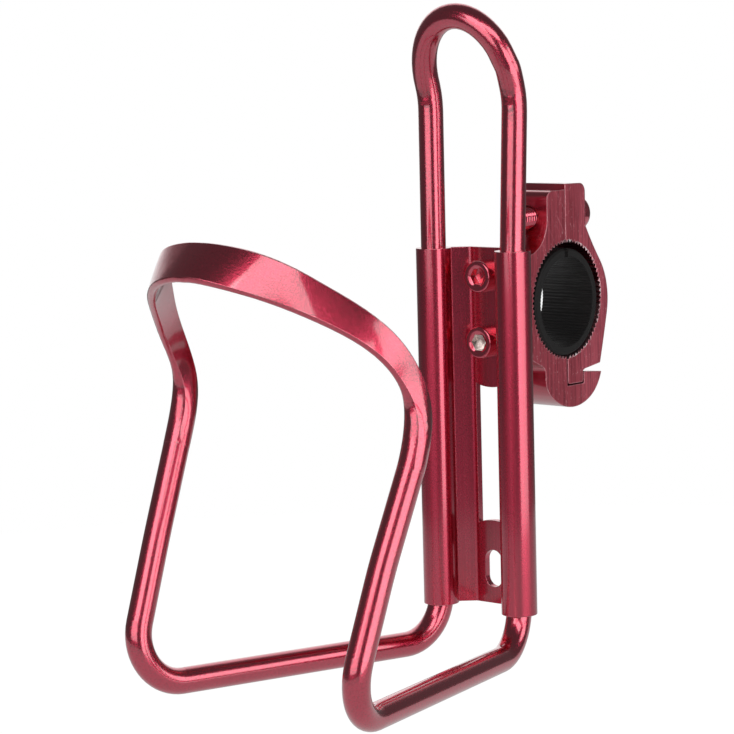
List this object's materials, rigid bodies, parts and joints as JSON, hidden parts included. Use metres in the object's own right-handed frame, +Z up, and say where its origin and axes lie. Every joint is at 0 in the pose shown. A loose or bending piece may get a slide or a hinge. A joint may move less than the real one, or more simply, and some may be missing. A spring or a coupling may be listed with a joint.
{
  "type": "water bottle cage",
  "caption": "Bent-rod water bottle cage on a channelled back plate, with a hinged two-piece clamp and split sleeve that fasten it to a handlebar.",
  "frame": {"origin": "on the axis of the bar sleeve, in the middle of the clamp", "axes": "+X along the bar axis and across the back plate, -Y towards the bottle, +Y towards the rider's side of the bar, +Z up along the bottle"},
  "size_m": [0.0796, 0.1599, 0.1682],
  "materials": {
    "rod": "red anodised, satin",
    "bracket": "red anodised extrusion, glossy",
    "clamp": "red anodised, sawn sides matte",
    "screw_red": "red anodised, bright",
    "screw_bare": "bare socket with a red rim",
    "sleeve": "matte black"
  },
  "bodies": {
    "cage": {"cage_rod": "rod", "bracket": "bracket", "upper_screw": "screw_red", "lower_screw": "screw_bare", "clamp_base": "clamp", "bar_sleeve": "sleeve"},
    "jaw": {"clamp_jaw": "clamp"},
    "bolt": {"clamp_bolt": "screw_red", "bolt_washer": "screw_red"}
  },
  "joints": [
    {"name": "jaw_hinge", "type": "hinge", "parent": "cage", "child": "jaw", "pos_m": [0, 0.0039, -0.0206], "axis": [-1, 0, 0], "range_deg": [0, 5]},
    {"name": "bolt_slide", "type": "slide", "parent": "cage", "child": "bolt", "axis": [0, 1, 0], "range_m": [0, 0.0044]}
  ],
  "couplings": [
    {"joint": "bolt_slide", "follows": "jaw_hinge", "m_per_rad": 0.049}
  ]
}
